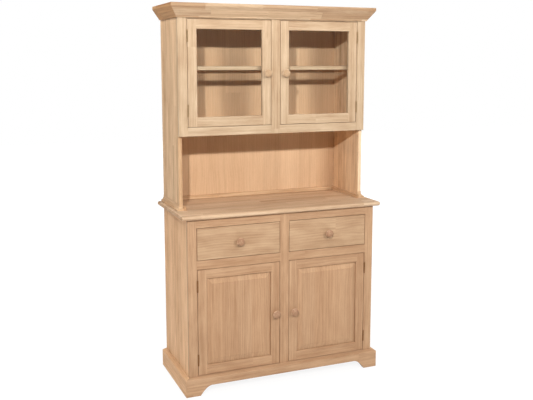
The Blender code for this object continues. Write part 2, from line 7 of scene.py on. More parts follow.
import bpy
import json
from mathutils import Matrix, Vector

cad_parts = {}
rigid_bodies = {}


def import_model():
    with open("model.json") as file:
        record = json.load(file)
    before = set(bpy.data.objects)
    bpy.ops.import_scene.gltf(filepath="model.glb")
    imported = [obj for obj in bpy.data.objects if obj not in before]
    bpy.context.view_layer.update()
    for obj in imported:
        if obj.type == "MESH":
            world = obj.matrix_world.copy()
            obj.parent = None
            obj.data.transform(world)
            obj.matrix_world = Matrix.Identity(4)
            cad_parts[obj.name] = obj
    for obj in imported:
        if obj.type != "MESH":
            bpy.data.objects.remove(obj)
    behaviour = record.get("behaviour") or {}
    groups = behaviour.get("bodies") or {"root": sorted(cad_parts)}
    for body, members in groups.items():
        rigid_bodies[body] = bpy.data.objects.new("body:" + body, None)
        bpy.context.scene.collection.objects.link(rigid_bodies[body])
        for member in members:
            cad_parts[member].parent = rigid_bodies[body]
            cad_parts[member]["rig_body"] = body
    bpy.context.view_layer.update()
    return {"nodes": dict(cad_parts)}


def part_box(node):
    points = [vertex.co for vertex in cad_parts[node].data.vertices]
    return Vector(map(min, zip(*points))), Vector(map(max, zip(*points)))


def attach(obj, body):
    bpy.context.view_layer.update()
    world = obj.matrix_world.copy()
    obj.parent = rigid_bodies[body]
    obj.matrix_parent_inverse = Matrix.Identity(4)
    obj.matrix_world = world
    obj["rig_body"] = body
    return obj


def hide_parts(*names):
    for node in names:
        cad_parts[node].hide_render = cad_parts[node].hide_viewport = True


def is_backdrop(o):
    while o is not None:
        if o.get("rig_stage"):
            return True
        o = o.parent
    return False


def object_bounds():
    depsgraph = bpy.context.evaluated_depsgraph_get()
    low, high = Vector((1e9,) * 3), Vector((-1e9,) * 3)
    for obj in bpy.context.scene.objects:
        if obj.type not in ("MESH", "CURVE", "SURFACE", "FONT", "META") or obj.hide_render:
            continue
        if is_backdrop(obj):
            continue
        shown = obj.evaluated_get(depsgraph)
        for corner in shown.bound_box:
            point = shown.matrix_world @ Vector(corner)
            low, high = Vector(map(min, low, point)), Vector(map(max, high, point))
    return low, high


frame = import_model()

# %% [markdown]
# ## What the steps share
# Numpy works out whole arrays of points at once, and mathutils turns the lamps and the camera. The front is
# 2 * HALF_FACE wide, most boards are BOARD thick, and neighbours lie CLEARANCE apart. Each board draws its
# stretch of grain from one seeded source, so every run gives the same wood.

# %% Libraries and shared sizes
import json
import math

import bpy
import numpy as np
from mathutils import Vector

SIDES = {"left": -1, "right": 1}
X, Y, Z = 0, 1, 2
SEED = 24
chance = np.random.default_rng(SEED)

BOARD = 0.019
CLEARANCE = 0.0003
HALF_FACE = 0.516
BEND_SHARE = 0.3
print("most boards are", BOARD * 1000, "mm thick")

# %% [markdown]
# ## Boards from outlines
# Every board is a closed outline carried through a thickness. Sharp edges catch no light, so the outline's
# corners are rounded and its first and last rings are pulled in along a quarter circle. A bevel modifier
# could do this too, but rings let each face know if it is round.

# %% Outlines
LEAST_TURN = math.radians(20)


def eased(outline, radius, steps=3):
    """Rounds the corners of a closed outline that turn by more than LEAST_TURN, and makes it anticlockwise.
    A corner gives way to an arc that touches both its sides: it starts radius * tan(turn / 2) before the
    corner, and its points are its centre plus the radius along the outward normal."""
    p = np.asarray(outline, float)
    after = np.roll(p, -1, 0)
    if np.sum(p[:, 0] * after[:, 1] - after[:, 0] * p[:, 1]) < 0:
        p = p[::-1]
    into, out = p - np.roll(p, 1, 0), np.roll(p, -1, 0) - p
    heading = np.arctan2(into[:, 1], into[:, 0])
    turn = (np.arctan2(out[:, 1], out[:, 0]) - heading + np.pi) % (2 * np.pi) - np.pi
    side = np.sign(turn)[:, None]
    start = p - (radius * np.tan(np.abs(turn) / 2) * np.stack([np.cos(heading), np.sin(heading)])).T
    left = np.stack([-np.sin(heading), np.cos(heading)], -1)
    centre = start + side * radius * left
    way = heading[:, None] + turn[:, None] * np.linspace(0, 1, steps + 1)
    arc = centre[:, None] + side[:, None] * radius * np.stack([np.sin(way), -np.cos(way)], -1)
    real = np.abs(turn) > LEAST_TURN
    kept = np.where(real[:, None, None], arc, p[:, None])
    use = np.ones((len(p), steps + 1), bool)
    use[~real, 1:] = False
    return kept[use]


def pulled_in(outline, distance):
    """Moves each point of an anticlockwise outline inward by distance, along (n1 + n2) / (1 + n1 . n2),
    where n1 and n2 are the inward normals of its two sides."""
    p = np.asarray(outline, float)
    ahead = np.roll(p, -1, 0) - p
    ahead = ahead / np.linalg.norm(ahead, axis=1)[:, None]
    after = np.stack([-ahead[:, 1], ahead[:, 0]], -1)
    before = np.roll(after, 1, 0)
    return p + distance * (before + after) / (1 + np.sum(before * after, 1))[:, None]


def quads_between(rings, around):
    """Corner numbers of the quads that join each ring to the next: point i of ring k is k * around + i."""
    k = np.arange(rings - 1)[:, None]
    i = np.arange(around)[None]
    j, n = (i + 1) % around, k + 1
    return np.stack([k * around + i, k * around + j, n * around + j, n * around + i], -1).reshape(-1, 4)


print("a unit square with eased corners has", len(eased([(0, 0), (1, 0), (1, 1), (0, 1)], 0.1)), "points")

# %% [markdown]
# ## Grain that belongs to the board
# Real grain runs through the wood, so each board carries its own coordinates: how far along the grain,
# across it and deep. One material can then serve every board, and a rail turned against a stile shows it.
# The across value also says which glued strip a point is in, and a narrow board stays within one.

# %% Boards
ROUND_STRIP = 0.004
STRIP = 0.06
END_SHARE, SLANT_SHARE, SLANT_HIGHLIGHT = 0.7, 0.2, -0.35
LONGEST_SHIFT, MOST_STRIPS, DEEPEST_SHIFT = 4, 40, 2
LEAST_AREA = 1e-12


def body_of_wood(rings, along, across, wide=False):
    """One board from rings of points, with its faces, which of them are round, its grain and its ends. A
    face is round where its shortest side is under ROUND_STRIP. Grain is the point's place along, across and
    deep, each plus a shift drawn for this board. Across, that is a number of whole strips, plus half a strip
    for a board narrower than one. A face is an end where its normal's share along the grain is over
    END_SHARE. Where the share is smaller but still over a second bound, the face is a slanted cut and gets a
    painted highlight: a paler tone for bevels and eased edges that catch light."""
    rings = np.asarray(rings, float)
    count, around = rings.shape[:2]
    points = rings.reshape(-1, 3)
    quads = quads_between(count, around)
    a, b, c, d = (points[quads[:, n]] for n in range(4))
    normal = np.cross(c - a, d - b)
    volume = np.sum((a + b + c + d) * normal)
    shortest = np.min([np.linalg.norm(q - p, axis=1) for p, q in ((a, b), (b, c), (c, d), (d, a))], 0)
    share = np.abs(normal[:, along]) / np.maximum(np.linalg.norm(normal, axis=1), LEAST_AREA)
    # Slanted cuts across the grain get a negative value, a painted highlight that pales bevels and eased
    # edges where they catch light.
    ends = np.where(share > END_SHARE, 1.0, np.where(share > SLANT_SHARE, SLANT_HIGHLIGHT, 0.0)).tolist()
    last = (count - 1) * around
    faces = quads.tolist() + [list(range(around))[::-1], list(range(last, last + around))]
    soft = (shortest < ROUND_STRIP).tolist() + [False, False]
    for ring in (rings[0], rings[-1]):
        centre = ring.mean(0)
        out = np.cross(ring - centre, np.roll(ring, -1, 0) - centre).sum(0)
        ends.append(float(abs(out[along]) > END_SHARE * np.linalg.norm(out)))
    if volume < 0:
        faces = [face[::-1] for face in faces]
    depth = 3 - along - across
    middle = 0 if wide else (points[:, across].min() + points[:, across].max()) / 2
    draw = chance.uniform(0, 1, 3)
    strips = math.floor(draw[1] * MOST_STRIPS) + (draw[2] if wide else 0.5)
    shift = (draw[0] * LONGEST_SHIFT, strips * STRIP - middle, draw[2] * DEEPEST_SHIFT)
    grain = points[:, [along, across, depth]] + shift
    return {"points": points, "faces": faces, "soft": soft, "grain": grain, "ends": ends}


EDGE_EASE, EASE_STEPS, CORNER_TO_EASE = 0.0005, 2, 1.3


def plank(low, high, along, across, ease=EDGE_EASE, wide=False):
    """A straight board between two corners, its length along one axis and its width across another. At its
    two faces the outline is pulled in by ease * (1 - sin t) while the depth grows by ease * (1 - cos t)."""
    thick = 3 - along - across
    a, b = (low[along], low[across]), (high[along], high[across])
    shape = eased([a, (b[0], a[1]), b, (a[0], b[1])], ease * CORNER_TO_EASE, EASE_STEPS)
    t = np.linspace(0, np.pi / 2, EASE_STEPS + 1)
    inset, rise = ease * (1 - np.sin(t)), ease * (1 - np.cos(t))
    levels = np.concatenate([low[thick] + rise, (high[thick] - rise)[::-1]])
    rings = np.empty((len(levels), len(shape), 3))
    for ring, level, pull in zip(rings, levels, np.concatenate([inset, inset[::-1]])):
        ring[:, [along, across]] = pulled_in(shape, pull) if pull > 0 else shape
        ring[:, thick] = level
    return body_of_wood(rings, along, across, wide)


print("a plank is a stack of", 2 * (EASE_STEPS + 1), "rings")

# %% [markdown]
# ## Pieces on their bodies
# A piece gathers its boards in one mesh at the origin, takes over from the part's plain solid, and rides on
# the same body, so a door's boards swing with the door. Only round faces are shaded smooth, which keeps
# broad boards free of false shading at their edges.

# %% Making a piece
SHARP_ANGLE = math.radians(50)


def placed(name, data):
    """A new object in the scene."""
    made = bpy.data.objects.new(name, data)
    bpy.context.scene.collection.objects.link(made)
    return made


def piece(name, boards, node, material, replace=True):
    """Joins boards in one mesh with their grain and end attributes, and puts it in place of a CAD node."""
    before = np.cumsum([0] + [len(b["points"]) for b in boards[:-1]])
    faces = [[v + n for v in face] for b, n in zip(boards, before.tolist()) for face in b["faces"]]
    mesh = bpy.data.meshes.new(name)
    mesh.from_pydata(np.concatenate([b["points"] for b in boards]), [], faces)
    grain = mesh.attributes.new("grain", "FLOAT_VECTOR", "POINT")
    grain.data.foreach_set("vector", np.concatenate([b["grain"] for b in boards]).astype(np.float32).ravel())
    # The end attribute darkens end grain and pales slanted cuts, the latter a painted highlight.
    ends = mesh.attributes.new("end", "FLOAT", "FACE")
    ends.data.foreach_set("value", np.array([e for b in boards for e in b["ends"]], np.float32))
    mesh.set_sharp_from_angle(angle=SHARP_ANGLE)
    mesh.polygons.foreach_set("use_smooth", [s for b in boards for s in b["soft"]])
    mesh.materials.append(material)
    mesh.update()
    made = placed(name, mesh)
    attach(made, frame["nodes"][node]["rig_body"])
    if replace:
        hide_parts(node)


# %% [markdown]
# ## Shader sums
# A material is a small sum over the surface. Written with nodes alone it is hard to read, so one class wraps
# a socket and lets plain arithmetic add the Math nodes. Every other node comes from its one method.

# %% Wires
class Wire:
    """A socket in a material that can be added, taken away, multiplied, divided and raised to a power."""

    def __init__(self, tree, socket=None):
        self.tree, self.socket = tree, socket

    def node(self, kind, settings=None, sockets=None, output=0):
        """Adds a node: its settings first, then its sockets by number or name."""
        made = self.tree.nodes.new(kind)
        for key, value in (settings or {}).items():
            setattr(made, key, value)
        for key, value in (sockets or {}).items():
            if isinstance(value, Wire):
                self.tree.links.new(value.socket, made.inputs[key])
            else:
                made.inputs[key].default_value = value
        return Wire(self.tree, made.outputs[output])

    def math(self, operation, *values, clamp=False):
        settings = {"operation": operation, "use_clamp": clamp}
        return self.node("ShaderNodeMath", settings, dict(enumerate(values)))

    def __add__(self, other):
        return self.math("ADD", self, other)

    def __sub__(self, other):
        return self.math("SUBTRACT", self, other)

    def __rsub__(self, other):
        return self.math("SUBTRACT", other, self)

    def __mul__(self, other):
        return self.math("MULTIPLY", self, other)

    def __truediv__(self, other):
        return self.math("DIVIDE", self, other)

    def __rtruediv__(self, other):
        return self.math("DIVIDE", other, self)

    def __pow__(self, power):
        return self.math("POWER", self, power)

    __radd__, __rmul__ = __add__, __mul__

    def clamped(self):
        return self.math("ADD", self, 0.0, clamp=True)

    def floor(self):
        return self.math("FLOOR", self)


def new_material(name, principled=True):
    """A material, the node that its sums end in and a wire to draw from. That node is the Principled shader
    or, where the material mixes its own, the output."""
    made = bpy.data.materials.new(name)
    made.use_nodes = True
    nodes = made.node_tree.nodes
    if not principled:
        nodes.remove(nodes["Principled BSDF"])
    return made, nodes["Principled BSDF" if principled else "Material Output"], Wire(made.node_tree)


def connect(wire, node, name):
    """Joins a wire to a node's socket of that name."""
    wire.tree.links.new(wire.socket, node.inputs[name])


print("a wire knows", ", ".join(name for name in vars(Wire) if not name.startswith("_")))

# %% [markdown]
# ## Raw wood
# The wood is pale, sanded and unfinished. Seen closely it has fine dark pores and fibres, from a step away
# soft streaks, threads and broken flecks, and from across the room bands, clouds and, on wide boards, glued
# strips that differ a little in tone. An image would repeat and stretch, so the pattern is worked out in the
# board's own grain coordinates, round one colour for the whole board.

# %% Glued strips
JOINTS_APART = 7.0
PATTERN_SHIFT = (3.1, 1.7, 2.3)


def glued_strips(w, strip, run):
    """What the wood is glued from at a point: how far across its strip it lies, from 0 to 1, the strip's
    tone, three more drawn numbers, and the point's place in the pattern. A strip's number is floor(across /
    strip), and a piece's along it floor(along / run + luck), so the cuts in neighbouring strips lie apart.
    The drawn numbers shift the pattern, so each piece seems another tree's."""
    grain = w.node("ShaderNodeAttribute", {"attribute_name": "grain"}, output=1)
    along, across = (w.node("ShaderNodeSeparateXYZ", None, {0: grain}, n) for n in (0, 1))
    row = (across / strip).floor()
    luck = w.node("ShaderNodeTexWhiteNoise", {"noise_dimensions": "1D"}, {"W": row})
    cell = w.node("ShaderNodeCombineXYZ", None, {0: row, 1: (along / run + luck * JOINTS_APART).floor()})
    tone, drawn = (w.node("ShaderNodeTexWhiteNoise", {"noise_dimensions": "3D"}, {"Vector": cell}, n)
                   for n in (0, 1))
    numbers = [w.node("ShaderNodeSeparateColor", None, {0: drawn}, n) for n in range(3)]
    shifted = {0: drawn, 1: PATTERN_SHIFT, 2: grain}
    return (across / strip - row, tone, numbers,
            w.node("ShaderNodeVectorMath", {"operation": "MULTIPLY_ADD"}, shifted))


print("strips are", STRIP * 1000, "mm wide where a wood doesn't say")

# %% Grain noises
# Turns in a metre along the grain, turns in a metre across it, detail and roughness
NOISES = {
    "wander": (3.0, 8.0, 1.0, 0.5), "rise": (0.9, 2.0, 1.0, 0.5), "fray": (9.0, 90.0, 2.0, 0.5),
    "band": (0.8, 38.0, 1.0, 0.5), "streak": (3.2, 125.0, 3.0, 0.6), "thread": (8.0, 380.0, 2.0, 0.5),
    "cloud": (7.0, 18.0, 2.0, 0.5), "fibre": (40.0, 1000.0, 2.0, 0.5),
    "fleck": (14.0, 300.0, 1.0, 0.5), "pore": (85.0, 1900.0, 1.0, 0.5),
}
# The value that a noise has to pass to leave a mark, and how fast the mark then grows full
MARKS = {"fleck": (0.6, 7.0), "pore": (0.62, 9.0)}
NOISE_MIDDLE = 0.5


def grain_noises(w, place):
    """Every noise about its middle, drawn out along the grain, and each mark as (noise - least) * rate, held
    between 0 and 1."""
    made = {}
    for name, (length, width, detail, rough) in NOISES.items():
        stretch = {0: place, 1: (length, width, width)}
        stretched = w.node("ShaderNodeVectorMath", {"operation": "MULTIPLY"}, stretch)
        sockets = {"Vector": stretched, "Scale": 1.0, "Detail": detail, "Roughness": rough}
        noise = w.node("ShaderNodeTexNoise", None, sockets)
        if name in MARKS:
            least, rate = MARKS[name]
            made[name] = ((noise - least) * rate).clamped()
        else:
            made[name] = noise - NOISE_MIDDLE
    return made


print(len(NOISES), "noises,", len(MARKS), "of them marks")

# %% Growth rings
RING_WIDTH, RING_FRAY = 0.017, 0.009
PITH_SPREAD, PITH_WANDER, PITH_DEPTH, PITH_SHARE = 1.3, 0.06, 0.05, 0.35
RINGS_MIDDLE = 0.375


def growth_rings(w, noise, aside, luck, strip):
    """Rings round a pith line that wanders below the strip: the distance from it is the root of side squared
    plus under squared, frayed by a noise, and the rings are (0.5 sin(2 pi distance / width) + 0.5) squared,
    less their own average."""
    side = aside * strip * PITH_SPREAD + noise["wander"] * PITH_WANDER
    under = (luck - PITH_SHARE) * PITH_DEPTH + noise["rise"] * PITH_WANDER
    distance = w.math("SQRT", side * side + under * under) + noise["fray"] * RING_FRAY
    rings = w.math("SINE", distance * (2 * math.pi / RING_WIDTH)) * 0.5 + 0.5
    return rings ** 2.0 - RINGS_MIDDLE


print("growth rings are", RING_WIDTH * 1000, "mm apart")

# %% Wood material
HUE = np.array((0.75, 1.02, 1.24))
DEEPER, PALER, MIDDLE_DEPTH, CONTRAST = -1.4, 0.8, 0.42, 0.3
WEIGHTS = {"band": 0.9, "streak": 1.3, "thread": 0.7, "fleck": 0.3, "cloud": 0.9, "fibre": 0.4, "pore": 0.3}
END_WEIGHT = 0.5
WARM, WARMTH = (1.0, 0.95, 0.9, 1), 2.0
ROUGHNESS, STREAK_ROUGHNESS, PORE_ROUGHNESS = 0.6, 0.2, 0.1
FIBRE_RELIEF, STREAK_RELIEF, PORE_RELIEF = 0.5, 0.4, 0.8
RELIEF_STRENGTH, RELIEF_HEIGHT, SHEEN = 0.25, 0.0004, 0.3


def wood(name, colour, strips, strip=STRIP, run=5.0, figure=0.1, streaks=1.0, clouds=1.0, contrast=CONTRAST):
    """Raw wood round one colour. The depth of its tone is a weighted sum of the strip's own tone, the rings,
    the noises, the marks and the end grain, which also carries a painted highlight that pales slanted cuts.
    It leads from a paler shade, colour * e^(PALER contrast HUE), to a deeper one, colour * e^(DEEPER
    contrast HUE). Blue falls fastest, so deeper wood is redder."""
    made, shader, w = new_material(name)
    across, tone, drawn, place = glued_strips(w, strip, run)
    noise = grain_noises(w, place)
    rings = growth_rings(w, noise, across - drawn[0], drawn[1], strip)
    # The end attribute deepens end grain and, where negative, pales slanted cuts as a painted highlight.
    end = w.node("ShaderNodeAttribute", {"attribute_name": "end"}, output=2)
    share = {"cloud": clouds, "fibre": 1.0, "pore": 1.0}
    depth = MIDDLE_DEPTH + (tone - NOISE_MIDDLE) * strips + rings * figure + end * END_WEIGHT
    for key, weight in WEIGHTS.items():
        depth = depth + noise[key] * (weight * share.get(key, streaks))
    shades = [(*(np.array(colour) * np.exp(step * contrast * HUE)).tolist(), 1) for step in (PALER, DEEPER)]
    ground = {0: depth.clamped(), 6: shades[0], 7: shades[1]}
    ground = w.node("ShaderNodeMix", {"data_type": "RGBA"}, ground, 2)
    warm = {0: drawn[2] * (WARMTH * strips), 6: ground, 7: WARM}
    warm = w.node("ShaderNodeMix", {"data_type": "RGBA", "blend_type": "MULTIPLY"}, warm, 2)
    connect(warm, shader, "Base Color")
    rough = ROUGHNESS + noise["streak"] * STREAK_ROUGHNESS + noise["pore"] * PORE_ROUGHNESS
    connect(rough, shader, "Roughness")
    relief = noise["fibre"] * FIBRE_RELIEF + noise["streak"] * STREAK_RELIEF - noise["pore"] * PORE_RELIEF
    bump = {"Strength": RELIEF_STRENGTH, "Distance": RELIEF_HEIGHT, "Height": relief}
    connect(w.node("ShaderNodeBump", None, bump), shader, "Normal")
    shader.inputs["Specular IOR Level"].default_value = SHEEN
    return made


print("deeper wood keeps", np.exp(DEEPER * CONTRAST * HUE).round(2).tolist(), "of its red, green and blue")

# %% [markdown]
# ## Woods of the hutch
# The cabinet's boards are pale and yellow. The buffet's are deeper and redder, partly from their own tone
# and partly as painted shade where less light reaches the lower case. Some woods are also painted paler or
# deeper for the light that falls on them: the cabinet's right side and the buffet's sides paler, the crown's
# returns deeper. Wide panels are glued from narrow strips, while rails are single boards. So each kind of
# board has its own colour and strips.

# %% The woods
# The buffet's front colour is deeper than the cabinet's, partly its own tone and partly painted shade where
# less light reaches the lower case.
LINING, BUFFET_TONE_AND_SHADE, BUFFET_SIDE_LIT = (0.70, 0.468, 0.284), (0.488, 0.292, 0.166), (0.655, 0.395, 0.216)
CASE, RETURN = {"strip": 0.048, "run": 1.3, "contrast": 0.34}, {"strip": 0.028, "run": 0.3, "clouds": 0.4}
KINDS = {
    "hutch_face": dict(colour=(0.545, 0.385, 0.245), strips=0.12, streaks=0.75),
    "hutch_frame": dict(colour=(0.53, 0.374, 0.237), strips=0.12, streaks=0.75),
    "hutch_case": dict(CASE, colour=(0.64, 0.422, 0.247), strips=0.4),
    # The cabinet's right side is painted paler than the left: painted light on its inner face in the niche.
    "hutch_right_lit": dict(CASE, colour=(0.76, 0.53, 0.33), strips=0.4),
    "crown": dict(RETURN, colour=(0.51, 0.35, 0.22), strips=0.6, contrast=0.34),
    # The crown's returns are its wood painted deeper and redder: painted shade on the faces turned aside and
    # down.
    "crown_return_shaded": dict(RETURN, colour=(0.46, 0.25, 0.113), strips=0.5),
    "back": dict(colour=LINING, strip=0.11, strips=0.3, streaks=0.25, clouds=0.3),
    "buffet_face": dict(colour=BUFFET_TONE_AND_SHADE, strips=0.12, streaks=0.8),
    # The buffet's sides and the plinth's sides are painted paler than its front: painted light.
    "buffet_case": dict(CASE, colour=BUFFET_SIDE_LIT, strips=0.3),
    "panel": dict(colour=BUFFET_TONE_AND_SHADE, strip=0.075, strips=0.25, figure=0.18, streaks=0.6, clouds=0.5),
    "counter": dict(colour=(0.60, 0.415, 0.266), strip=0.05, run=0.9, strips=0.35, streaks=1.2, clouds=0.6),
    "drawer": dict(colour=(0.485, 0.306, 0.178), strip=0.16, strips=0.05, figure=0.18, streaks=0.5,
                   clouds=1.2),
    "plinth": dict(colour=BUFFET_TONE_AND_SHADE, strip=0.12, run=1.5, strips=0.1, streaks=0.8),
    "plinth_side": dict(colour=BUFFET_SIDE_LIT, strip=0.12, run=1.5, strips=0.1, streaks=0.8),
    "knob": dict(colour=(0.64, 0.465, 0.30), strips=0.1),
    # The buffet's knobs are deeper than the cabinet's, partly their own tone and partly painted shade where
    # less light reaches the lower case.
    "dark_knob": dict(colour=(0.51, 0.315, 0.20), strips=0.1),
    "inside": dict(colour=LINING, strip=0.05, run=0.6, strips=0.3),
}
WOODS = {kind: wood(f"{kind}_wood", **settings) for kind, settings in KINDS.items()}
print(len(WOODS), "woods")

# %% [markdown]
# ## Plain boards
# Sides, backs, shelves, floors, runners and fronts are straight boards. Their corners come from the packed
# part, so only their grain and wood are said here. The grain is upright on sides and backs and level
# elsewhere.

# %% Straight boards
BROAD_EASE = 0.0008
STRAIGHT = {
    "base_side_left": (Z, Y, "buffet_case"), "base_side_right": (Z, Y, "buffet_case"),
    "base_bottom": (X, Y, "inside"), "base_back": (Z, X, "back"), "base_shelf": (X, Y, "inside"),
    "hutch_side_left": (Z, Y, "hutch_case"), "hutch_side_right": (Z, Y, "hutch_right_lit"),
    "hutch_back": (Z, X, "back"), "hutch_top": (X, Y, "inside"), "hutch_floor": (X, Y, "hutch_case"),
    "back_strip": (X, Z, "hutch_case"),
    "drawer_runner_left": (Y, X, "inside"), "drawer_runner_right": (Y, X, "inside"),
    "drawer_left_front": (X, Z, "drawer"), "drawer_right_front": (X, Z, "drawer"),
}
for node, (along, across, kind) in STRAIGHT.items():
    low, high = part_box(node)
    width = high[across] - low[across]
    board = plank(low, high, along, across, BROAD_EASE, wide=width > STRIP)
    piece(f"{node}_board", [board], node, WOODS[kind])
print(len(STRAIGHT), "straight boards")

# %% [markdown]
# ## Mitred frames
# Some frames are four strips of one section that meet in mitres. The section's points are placed at all four
# corners, each at its insets from the two outer edges there, and every strip is drawn from one corner to the
# next.

# %% Four mitred strips
def mitred_frame(low, high, section, plane):
    """Four strips round a rectangle on two axes. The section's rows are (inset at the low end of the first
    axis, at its high end, at the low end of the second, at its high end, place on the third axis)."""
    a, b = plane
    third = 3 - a - b
    first, last, under, over, place = np.array(section, float).T
    corners = []
    for u, v in ((low[a] + first, low[b] + under), (high[a] - last, low[b] + under),
                 (high[a] - last, high[b] - over), (low[a] + first, high[b] - over)):
        ring = np.empty((len(place), 3))
        ring[:, a], ring[:, b], ring[:, third] = u, v, place
        corners.append(ring)
    strips = zip(corners, corners[1:] + corners[:1], (a, b, a, b))
    return [body_of_wood([start, end], run, a + b - run) for start, end, run in strips]


print("a mitred frame has 4 strips")

# %% [markdown]
# ## Cabinet shelf
# The shelf behind the glass doors is a wooden frame with a pane let into its top, so light reaches what
# stands below. Its front rail is narrow, its rear rail wide, and a rebate all round carries the pane.

# %% Shelf frame
SHELF_FRONT_RAIL, SHELF_REAR_RAIL, SHELF_END_RAIL = 0.037, 0.066, 0.037
SHELF_REBATE, SHELF_GLASS, SHELF_EASE = 0.008, 0.005, 0.001
low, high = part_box("hutch_shelf")
seat = high.z - SHELF_GLASS - CLEARANCE
rails = (SHELF_END_RAIL, SHELF_END_RAIL, SHELF_FRONT_RAIL, SHELF_REAR_RAIL)
rebate = tuple(rail - SHELF_REBATE for rail in rails)
edge, eased_edge = (0,) * 4, (SHELF_EASE,) * 4
shelf_section = [
    (*eased_edge, low.z), (*edge, low.z + SHELF_EASE), (*edge, high.z - SHELF_EASE), (*eased_edge, high.z),
    (*rebate, high.z), (*rebate, seat), (*rails, seat), (*rails, low.z),
]
shelf_rails = mitred_frame(low, high, shelf_section, (X, Y))
piece("hutch_shelf_rails", shelf_rails, "hutch_shelf", WOODS["hutch_frame"])
print("shelf is", round(high.y - low.y, 3), "m deep")

# %% [markdown]
# ## Face frames
# A face frame is a grid of narrow boards glued edge to end: stiles run the full height, rails sit between
# them. Each has its own eased edges, so the hairline where two meet is a real groove.

# %% Face frame boards
OUTER_STILE, CENTRE_STILE = 0.0465, 0.049
FLOOR_RAIL, MIDDLE_RAIL, TOP_RAIL = (0.052, 0.095), (0.643, 0.688), (0.8525, None)
CABINET_RAIL, CABINET_HEAD = 0.0435, 0.072


def face_frame(node, centre_from, rails):
    """Two outer stiles, a centre stile that starts higher, and a pair of rails at each span of heights,
    where None stands for the frame's top."""
    low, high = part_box(node)
    top, half, inner = high.z, CENTRE_STILE / 2, HALF_FACE - OUTER_STILE
    spans = [(side * HALF_FACE, side * inner, low.z, top, Z, X) for side in SIDES.values()]
    spans.append((-half, half, centre_from, top, Z, X))
    spans += [(side * half, side * inner, under, over or top, X, Z)
              for under, over in rails for side in SIDES.values()]
    return [plank((min(a, b), low.y, under), (max(a, b), high.y, over), along, across)
            for a, b, under, over, along, across in spans]


low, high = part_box("hutch_face_frame")
cabinet_rails = ((low.z, low.z + CABINET_RAIL), (high.z - CABINET_HEAD, None))
FACE_FRAMES = {
    "base_face_frame": (FLOOR_RAIL[0], (FLOOR_RAIL, MIDDLE_RAIL, TOP_RAIL), "buffet_face"),
    "hutch_face_frame": (low.z, cabinet_rails, "hutch_frame"),
}
for node, (centre_from, rails, kind) in FACE_FRAMES.items():
    piece(f"{node}_boards", face_frame(node, centre_from, rails), node, WOODS[kind])
print("two face frames")

# %% [markdown]
# ## Counter top
# The counter is a thick slab with a half-round nose on its front and both ends. Each level of the slab is
# the same outline drawn in by R - R cos a. The outline runs on past the back and is cut off there, so the
# back stays square.

# %% Counter
NOSE_STEPS, NOSE_CORNER, NOSE_CORNER_STEPS = 14, 0.012, 5
low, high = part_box("counter_top")
radius = (high.z - low.z) / 2
turn = np.linspace(-np.pi / 2, np.pi / 2, NOSE_STEPS + 1)
beyond = high.y + 2 * radius
outline = [(low.x, low.y), (high.x, low.y), (high.x, beyond), (low.x, beyond)]
outline = eased(outline, NOSE_CORNER, NOSE_CORNER_STEPS)
rings = []
for inset, level in zip(radius * (1 - np.cos(turn)), low.z + radius * (1 + np.sin(turn))):
    flat = pulled_in(outline, inset) if inset > 0 else outline
    rings.append(np.column_stack([flat[:, 0], np.minimum(flat[:, 1], high.y), np.full(len(flat), level)]))
piece("counter_top_slab", [body_of_wood(rings, X, Y, wide=True)], "counter_top", WOODS["counter"])
print("counter nose radius", round(radius * 1000, 1), "mm")

# %% [markdown]
# ## Mouldings
# The crown, the plinth sides and the shoe are sections carried along a line, cut off square at the back and
# mitred at the front corners. A mitre is only a shift: each point of the section ends as far beyond the
# corner as it stands out from the case.

# %% Carrying a section
JOINT_EASE, SECTION_CORNER = 0.0003, 2.5


def carried(section, stations, along, across, ease=JOINT_EASE, wide=False):
    """A section of (run, rise) points carried past stations. The first and last show it pulled in by the
    ease, which leaves a fine groove at the joint."""
    shape = eased(section, ease * SECTION_CORNER)
    small = pulled_in(shape, ease)
    rings = [place(*(small if n in (0, len(stations) - 1) else shape).T) for n, place in enumerate(stations)]
    return body_of_wood(rings, along, across, wide)


def station(side, x, y, base, grow_x=1, grow_y=1):
    """Where run and rise lie at one station: the run adds to x by grow_x and takes from y by grow_y."""
    return lambda run, rise: np.column_stack([side * (x + run * grow_x), y - run * grow_y, base + rise])


def across_front(front, base):
    """Stations of a moulding across the front: at run r the ends lie r beyond the case's corners."""
    ends = ((-1, 0), (-1, JOINT_EASE), (1, JOINT_EASE), (1, 0))
    return [station(side, HALF_FACE - short, front, base) for side, short in ends]


def along_side(side, front, back, base):
    """Stations of a moulding along one side, from its square back end to its mitre with the front piece."""
    ends = ((back, 0), (back - JOINT_EASE, 0), (front + JOINT_EASE, 1), (front, 1))
    return [station(side, HALF_FACE, y, base, grow_y=mitre) for y, mitre in ends]


cabinet_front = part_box("hutch_face_frame")[0].y
base_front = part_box("base_face_frame")[0].y
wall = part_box("base_side_left")[1].y
print("the cabinet's front stands", round(cabinet_front - base_front, 3), "m behind the buffet's")

# %% [markdown]
# ## Crown
# The crown is a fillet at the top, a straight slope that runs in under it and a small fillet at its foot.
# Three lengths of it meet at the front corners, and the returns end flush with the back.

